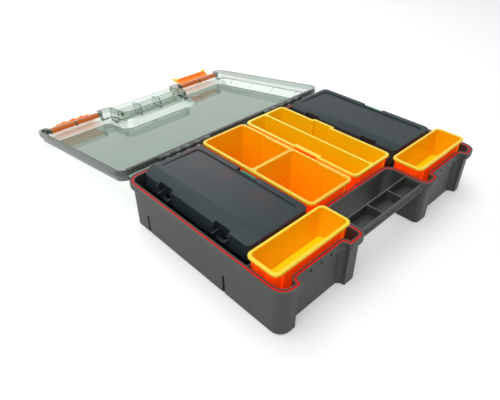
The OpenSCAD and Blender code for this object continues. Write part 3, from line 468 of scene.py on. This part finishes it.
def layOut(bm, place, mirrored):
    # a shape made on the right of the closed lid, put in its place and mirrored for the left
    bmesh.ops.recalc_face_normals(bm, faces=bm.faces)
    bmesh.ops.transform(bm, matrix=place, verts=bm.verts)
    if mirrored:
        bmesh.ops.scale(bm, vec=(-1, 1, 1), verts=bm.verts)
        bmesh.ops.reverse_faces(bm, faces=bm.faces)


tub = {  # upright slots of the side walls: where they are, how high they reach, and how much wider
    "slotMiddle": 0.027, "slotApart": 0.0755, "slotNear": 0.002, "slotTop": 0.0305, "wall": 0.2,
    "slotWider": 1.5,
}


def dressTub(p):
    bm = mergedCopy("base_tub")
    for v in bm.verts:
        for middle in (p["slotMiddle"] - p["slotApart"], p["slotMiddle"] + p["slotApart"]):
            beside = v.co.y - middle
            if abs(v.co.x) > p["wall"] and abs(beside) < p["slotNear"] and v.co.z < p["slotTop"]:
                v.co.y = middle + beside * p["slotWider"]
    finishPiece(bm, "tubBody", "base_tub", [tubPlastic])


seal = {"thinner": 0.0004}


def dressSeal(p):
    # the cord, a little thinner than its groove so that the groove's sides show
    bm = mergedCopy("rim_gasket")
    bm.normal_update()
    for v in bm.verts:
        v.co -= v.normal * p["thinner"]
    finishPiece(bm, "sealBody", "rim_gasket", [sealRubber])


def paintPin(node):
    mesh = nodes[node].data
    mesh.materials.clear()
    mesh.materials.append(pinPlastic)


lid = {  # places on the closed lid
    "base": 0.0703, "flange": 0.008,  # its underside, and the height of its flange
    "plate": 0.0225, "plateFront": -0.1275,  # the flat top: its height above the underside, its front
    "side": 0.195, "back": 0.13, "backHalf": 0.19,  # where the side and back walls begin
    "gripFront": -0.135, "gripHalf": 0.0735,
    # how far the normals of its walls, its grooves, its grip, its underside and its top rise or fall
    "upright": 0.02, "grooved": 0.85, "gripDown": 0.5, "underside": 0.9, "flat": 0.97,
    "slack": 0.0001, "undersideSlack": 0.001, "sharp": 24,
}
flangeRidges = {  # the grooves between them, in millimetres from the flange's underside
    "count": 5, "pitch": 1.45, "first": 1.1, "halfWidth": 0.45, "depth": 0.4,
}
clearKind, plateKind, hatchedKind, gripKind, ridgedKind, bandKind = range(6)
lidLooks = [lidClear, lidPlatePaintedShade, lidHatchedPaintedShade, gripHatched, lidRidgedPaintedShade, lidBandPaintedShade]


def outerWall(face):
    # whether a face of the lid looks away from the lid's middle
    c, n = face.calc_center_median(), face.normal
    return n.dot(Vector((c.x, c.y, 0))) > 0


def span(face):
    # the face's lowest and highest point
    places = [v.co.z for v in face.verts]
    return min(places), max(places)


def sinkRing(cut, depth):
    # the corners of a line cut round the flange, moved into the wall
    for v in cut["geom_cut"]:
        if isinstance(v, bmesh.types.BMVert):
            out = sum((f.normal for f in v.link_faces), Vector())
            out.z = 0
            v.co -= out.normalized() * depth


def cutRidges(bm, p, r, slack=2e-5):
    # each groove between two ridges is a line cut round the flange and sunk, between two that stay
    base, top = p["base"], p["base"] + p["flange"]
    upright = [f for f in bm.faces if abs(f.normal.z) < p["upright"]]
    flange = [f for f in upright if abs(span(f)[0] - base) < slack and abs(span(f)[1] - top) < slack]
    for i in range(r["count"]):
        middle = base + (r["first"] + i * r["pitch"]) / 1000
        for step in (-1, 0, 1):
            geom = dict.fromkeys(flange)
            for f in flange:
                geom.update(dict.fromkeys([*f.edges, *f.verts]))
            cut = bmesh.ops.bisect_plane(bm, geom=list(geom), dist=1e-6, plane_no=(0, 0, 1),
                                         plane_co=(0, 0, middle + step * r["halfWidth"] / 1000))
            upright = [f for f in bm.faces if abs(f.normal.z) < p["upright"] and outerWall(f)]
            flange = [f for f in upright if span(f)[0] > base - slack and span(f)[1] < top + slack]
            if step == 0:
                sinkRing(cut, r["depth"] / 1000)


def lidKind(face, p):
    # the finish of a face of the closed lid: the plate, the hatched back, the ridged left and back flanges and the
    # left walls take copies tinted darker as painted shade, the grip its ribbed finish, and its right side stays
    # clear
    c, n = face.calc_center_median(), face.normal
    up, rise = c.z - p["base"], abs(n.z)
    atBack, atLeft, atRight = c.y > p["back"], c.x < -p["side"], c.x > p["side"]
    onHatch = atBack and abs(c.x) < p["backHalf"]
    if rise > p["flat"] and up > p["plate"] and c.y > p["plateFront"]:
        return plateKind
    if c.y < p["gripFront"] and abs(c.x) < p["gripHalf"] and n.z < -p["gripDown"]:
        return gripKind
    if n.z < -p["underside"] and up < p["undersideSlack"]:
        return hatchedKind if onHatch else clearKind
    if outerWall(face) and rise < p["grooved"] and up < p["flange"] + p["slack"]:
        if onHatch:
            return hatchedKind
        if atLeft or atBack and not atRight:
            return ridgedKind
    elif outerWall(face) and rise < p["upright"] and atLeft:
        return bandKind
    return clearKind


def dressLid(p, r):
    # the lid, with fine ridges round its flange and a finish for each of its zones, the darker ones painted shade
    bm = mergedCopy("lid_shell")
    bmesh.ops.transform(bm, matrix=openLid.inverted(), verts=bm.verts)
    bm.normal_update()
    cutRidges(bm, p, r)
    bm.normal_update()
    for face in bm.faces:
        face.material_index = lidKind(face, p)
    counts = [sum(f.material_index == kind for f in bm.faces) for kind in range(len(lidLooks))]
    print("lid faces by finish", counts)
    bmesh.ops.transform(bm, matrix=openLid, verts=bm.verts)
    finishPiece(bm, "lidBody", "lid_shell", lidLooks, p["sharp"])


lever = {  # the right latch on the closed lid, in millimetres
    "middle": 138.5, "pinY": -142.5, "pinZ": 77.3,
    "face": -144.4, "thick": 2.8, "length": 18.5, "width": 76, "edge": 0.7,
    "barrels": (97.4, 144.4), "barrelLength": 43.2, "barrel": 5.0, "bore": 1.6,
    "barIn": 6, "barSunk": 0.5, "barReach": 4.6, "barHeight": 4, "barEdge": 0.5,
    "teeth": (-17, 0, 17), "toothHalf": 3, "toothUp": 1, "toothSunk": 0.6, "toothReach": 1.6,
    "toothEdge": 0.4,
}
tab = {  # the finger tab in front of the lever, in millimetres
    "width": 87, "waist": 44, "reach": 28, "height": 17, "scoop": 9, "thick": 2.6,
    "endIn": 5, "endHeight": 0.85, "waistIn": 2, "corner": 2.5, "edge": 0.5,
}


def makeLever(bm, p):
    # two barrels on the pin, a plate down from them, and a catch bar with low teeth along its foot
    middle, face = p["middle"], p["face"]
    half, tip = p["width"] / 2, p["pinZ"] - p["length"]
    for x in p["barrels"]:
        tubeX(bm, x, x + p["barrelLength"], p["pinY"], p["pinZ"], p["bore"], p["barrel"])
    block(bm, (middle - half, face, tip), (middle + half, face + p["thick"], p["pinZ"]), p["edge"])
    barHalf, barFront, barTop = half - p["barIn"], face + p["barReach"], tip + p["barHeight"]
    block(bm, (middle - barHalf, face + p["barSunk"], tip), (middle + barHalf, barFront, barTop),
          p["barEdge"])
    for place in p["teeth"]:
        x = middle + place
        block(bm, (x - p["toothHalf"], barFront - p["toothSunk"], tip + p["toothUp"]),
              (x + p["toothHalf"], barFront + p["toothReach"], barTop), p["toothEdge"])


def makeTab(bm, p, t):
    # a plate with a narrow waist and four rounded corners
    end, waist, low = t["width"] / 2, t["waist"] / 2, p["pinZ"] - t["reach"]
    half = [(waist, low + t["scoop"]), (end, low), (end - t["endIn"], low + t["height"] * t["endHeight"]),
            (waist - t["waistIn"], low + t["height"])]
    places = half + [(-x, z) for x, z in reversed(half)]
    verts = [bm.verts.new(((p["middle"] + x) / 1000, p["face"] / 1000, z / 1000)) for x, z in places]
    made = bmesh.ops.extrude_face_region(bm, geom=[bm.faces.new(verts)])["geom"]
    bmesh.ops.translate(bm, vec=(0, -t["thick"] / 1000, 0),
                        verts=[v for v in made if isinstance(v, bmesh.types.BMVert)])
    corners = [e for e in bm.edges if abs(e.verts[0].co.y - e.verts[1].co.y) > 0.001]
    roundOff(bm, corners, t["corner"] / 1000, 4)
    bmesh.ops.recalc_face_normals(bm, faces=bm.faces)
    roundOff(bm, [e for e in bm.edges if e.calc_face_angle(0) > radians(60)], t["edge"] / 1000, 2)


def dressLatch(hand, p, t):
    # lever and finger tab, swung with the lid and then to where the latch rests
    pin = Vector((0, p["pinY"] / 1000, p["pinZ"] / 1000))
    place = openLid @ turnAbout(pin, radians(jointOf[f"latch_{hand}_pivot"]["range_deg"][0]))
    bm = bmesh.new()
    makeLever(bm, p)
    layOut(bm, place, hand == "left")
    node = f"latch_{hand}_lever"
    finishPiece(bm, node + "Body", node, [leverPlastic])
    bm = bmesh.new()
    makeTab(bm, p, t)
    layOut(bm, place, hand == "left")
    node = f"latch_{hand}_tab"
    finishPiece(bm, node + "Body", node, [tabPlastic])


trayZones = {
    "rim": 0.0035, "rimSide": 0.0032,  # how deep the rim goes, on its flats and on its outside
    "floor": 0.04,  # how far down a floor lies, at least
    "outside": 0.018,  # a face from which this step leads past the tray is on its outside
    "crown": 0.00002, "flat": 0.9,
}
trayRib = {  # the heights where it meets its wall, and its section; a ray from this far off finds the wall
    "heights": (0.006, 0.03, 0.055, 0.0785), "from": 0.04,
    "section": ((0.0004, -0.0006), (-0.0007, -0.0004), (-0.0007, 0.0004), (0.0004, 0.0006)),
}
frontCup = {
    "outerRound": 0.0012, "innerRound": 0.0006, "floorUp": 0.0085,
    "grow": {"by": 2.0, "wall": 9, "still": 0.45},  # millimetres, and the share that stays in place
}
cupTray = {
    "outerRound": 0.0005, "innerRound": 0.0003, "bead": 0.0005, "grooveDepth": 0.0005,
    "grooveSide": 0.0002, "shift": -0.0027, "ribs": (0.091, -0.03),
    "partition": {"axis": 1, "at": 0.0289, "near": 0.004, "wider": 0.0009},
}
channelTray = {
    "outerRound": 0.0008, "innerRound": 0.0004, "shift": -0.0025,
    "partition": {"axis": 0, "at": 0.0443, "near": 0.004, "wider": 0.001},
}
rimKind, insideKind, outsideKind, floorKind, grooveKind = range(5)
cupLooks = [trayRimPaintedLit, trayInside, trayOutsidePaintedShade, cupFloorPaintedLit, trayGroovePaintedShade]
cupTrayLooks = [trayRimPaintedLit, trayInside, trayOutsidePaintedShade, trayInside, trayGroovePaintedShade]
channelLooks = [trayRimPaintedLit, channelInside, trayOutsidePaintedShade, channelInside, trayGroovePaintedShade]


def trayKind(face, low, high, z):
    # the finish of a face of a tray or cup between its lowest and highest corners: which lit or shaded copy of the
    # orange plastic it is painted with
    c, n = face.calc_center_median(), face.normal
    if abs(n.z) > z["flat"]:
        if c.z > high.z - z["rim"]:
            return rimKind
        return floorKind if n.z > 0 else outsideKind
    beyond = c + n * z["outside"]
    if low.x < beyond.x < high.x and low.y < beyond.y < high.y:
        return insideKind
    return rimKind if c.z > high.z - z["rimSide"] else outsideKind


def widenPartition(bm, top, p):
    # the top of the wall between two compartments, wider than the solid's
    axis = p["axis"]
    tops = [v for v in bm.verts if v.co.z > top and abs(v.co[axis] - p["at"]) < p["near"]]
    middle = sum(v.co[axis] for v in tops) / len(tops)
    for v in tops:
        v.co[axis] += p["wider"] if v.co[axis] > middle else -p["wider"]


def addRib(bm, x, y, p):
    # an upright rib on the wall to the right of a place, bridged between sections that follow the wall
    tree = BVHTree.FromBMesh(bm)
    before = set(bm.faces)
    rings = []
    for z in p["heights"]:
        wall = tree.ray_cast(Vector((x, y, z)), Vector((1, 0, 0)))[0]
        corners = [bm.verts.new((wall.x + dx, y + dy, z)) for dx, dy in p["section"]]
        rings.append([bm.edges.new((corners[i - 1], corners[i])) for i in range(len(corners))])
    for low, high in zip(rings, rings[1:]):
        bmesh.ops.bridge_loops(bm, edges=low + high)
    for ring in (rings[0], rings[-1]):
        bmesh.ops.edgeloop_fill(bm, edges=ring)
    made = [f for f in bm.faces if f not in before]
    for face in made:
        face.material_index = insideKind
    bmesh.ops.recalc_face_normals(bm, faces=made)


def roundRim(bm, atTop, p):
    # the rim's outer edges first, then those towards the compartments
    outer = [e for e in sharpEdges(bm, atTop)
             if any(f.material_index == rimKind and abs(f.normal.z) < 0.5 for f in e.link_faces)]
    roundOff(bm, outer, p["outerRound"], 4)
    inner = [e for e in sharpEdges(bm, atTop) if any(f.material_index == insideKind for f in e.link_faces)]
    roundOff(bm, inner, p["innerRound"])


def cutRimGroove(bm, atTop, p):
    # a groove along the rim, between beads, painted a darker yellow as its shade
    crown = [f for f in bm.faces if f.normal.z > 0.999 and atTop(f.calc_center_median())]
    bmesh.ops.inset_region(bm, faces=crown, thickness=p["bead"], use_even_offset=True)
    bmesh.ops.inset_region(bm, faces=crown, thickness=p["grooveSide"], depth=-p["grooveDepth"],
                           use_even_offset=True)
    # the groove's faces take the darker painted-shade yellow
    for face in crown:
        face.material_index = grooveKind


def growCup(bm, low, high, p):
    # wider and deeper to each side, while the middle and the walls' thickness stay
    middle = (low + high) / 2
    for axis in (0, 1):
        half = (high - low)[axis] / 2 * 1000
        still, wall = half * p["still"], half - p["wall"]
        table = ((0, 0), (still, still), (wall, wall + p["by"]), (half, half + p["by"]))
        for v in bm.verts:
            d = v.co[axis] - middle[axis]
            v.co[axis] = middle[axis] + (1 if d > 0 else -1) * remap(abs(d), table)


def dressTray(node, looks, p):
    # a tray or cup: a rounded rim, and what else its settings name
    low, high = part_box(node)
    bm = mergedCopy(node)
    # each face painted a lit or shaded tone of the orange plastic by where it lies and faces
    for face in bm.faces:
        face.material_index = trayKind(face, low, high, trayZones)
    if "floorUp" in p:
        below = high.z - trayZones["floor"]
        floors = [f for f in bm.faces if f.material_index == floorKind]
        for v in {v for f in floors for v in f.verts if v.co.z < below}:
            v.co.z += p["floorUp"]
    if "partition" in p:
        widenPartition(bm, high.z - trayZones["rim"], p["partition"])
    for y in p.get("ribs", ()):
        addRib(bm, high.x - trayRib["from"], y, trayRib)

    def atTop(place):
        return place.z > high.z - trayZones["crown"]

    roundRim(bm, atTop, p)
    if "bead" in p:
        cutRimGroove(bm, atTop, p)
    if "grow" in p:
        growCup(bm, low, high, p["grow"])
    if "shift" in p:
        bmesh.ops.translate(bm, vec=(p["shift"], 0, 0), verts=bm.verts)
    finishPiece(bm, node + "Body", node, looks)


organizer = {  # metres, but the tables of (old, new) places from the cover's middle are millimetres
    "lidHeight": 0.018, "raise": 0.0065, "edge": 0.0008, "edgeBand": 0.0002,
    "stripPlace": 0.0155, "stripWidth": 0.0149, "stripDrop": 0.0055,  # the slope beside the hinges
    "lean": {"left": 0.0074, "right": 0.0042}, "leanReach": 0.0075,  # the steeper hinge side
    "clipSide": 0.02, "clipEnd": 0.0705, "clipThinner": 0.0013,
    "clipHeights": ((0, 0), (13.6, 13.6), (18, 24.5)),
    "hingeTable": ((-44, -44), (-36, -36), (-32.5, -26), (-10, -10), (30, 30)),
    "yTable": ((0, 0), (18, 17.75), (30, 30), (40, 41), (80, 67), (95, 95), (104, 104)),
}
organizerParts = (
    ("case", "organizer_slate"), ("dividers", "organizer_slate"), ("clip", "clip_green"),
    ("lid", "organizer_cover"),
)


def warpOrganizer(bm, hand, p):
    # the organizer's copy, raised to its cover's real height, with the gentle slope by its hinges
    low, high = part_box(f"organizer_{hand}_lid")
    cx, cy = (low.x + high.x) / 2, (low.y + high.y) / 2
    half = (high.x - low.x) / 2 * 1000
    seam = high.z - p["lidHeight"]
    stripX = cx - half / 1000 + p["stripPlace"]
    geom = bm.verts[:] + bm.edges[:] + bm.faces[:]
    bmesh.ops.bisect_plane(bm, geom=geom, dist=1e-6, plane_co=(stripX, 0, 0), plane_no=(1, 0, 0))
    xTable = ((-half, -half), *p["hingeTable"], (half, half))
    for v in bm.verts:
        x, y, z = v.co.x - cx, v.co.y - cy, v.co.z
        share = max(0.0, (z - seam) / p["lidHeight"])
        near = min(1.0, max(0.0, (stripX - cx - x) / p["leanReach"]))
        x = remap(x, xTable) - p["lean"][hand] * share * near
        drop = p["stripDrop"] * min(1.0, max(0.0, (stripX - cx - x) / p["stripWidth"]))
        up = share * (p["lidHeight"] + p["raise"])
        if x > p["clipSide"]:
            up = remap(share * p["lidHeight"], p["clipHeights"])  # unstretched beside the clip's pivot
        side = 1 if y > 0 else -1
        v.co = (cx + x, cy + side * remap(abs(y), p["yTable"]), min(z, seam) + up - share * drop)


def thinClip(bm, p):
    # the clip's finger end, thinner behind so that it clears the cover's notch when pressed
    inner, outer = min(v.co.x for v in bm.verts), max(v.co.x for v in bm.verts)
    for v in bm.verts:
        if v.co.z > p["clipEnd"]:
            v.co.x += p["clipThinner"] * (outer - v.co.x) / (outer - inner)


def roundCover(bm, p):
    top = max(v.co.z for v in bm.verts)
    roundOff(bm, sharpEdges(bm, lambda place: place.z > top - p["edgeBand"], 50), p["edge"])


def dressOrganizer(hand, p):
    looks = {"case": casePlastic, "dividers": dividerPlastic, "clip": clipPlastic,
             "lid": coverSmoke[hand]}
    for part, slot in organizerParts:
        node = f"organizer_{hand}_{part}"
        bm = mergedCopy(node)
        warpOrganizer(bm, hand, p)
        if part == "clip":
            thinClip(bm, p)
        if part == "lid":
            roundCover(bm, p)
        finishPiece(bm, node + "Body", node, [looks[part]])


dressTub(tub)
dressSeal(seal)
for pin in ("hinge_pin_left", "hinge_pin_right", "latch_left_pin", "latch_right_pin"):
    paintPin(pin)
dressLid(lid, flangeRidges)
print("tub, cord and lid dressed")
for hand in ("left", "right"):
    dressLatch(hand, lever, tab)
    dressTray(f"front_cup_{hand}", cupLooks, frontCup)
    dressOrganizer(hand, organizer)
dressTray("twin_cup_tray", cupTrayLooks, cupTray)
dressTray("twin_channel_tray", channelLooks, channelTray)
print("latches, cups, organizers and trays dressed")
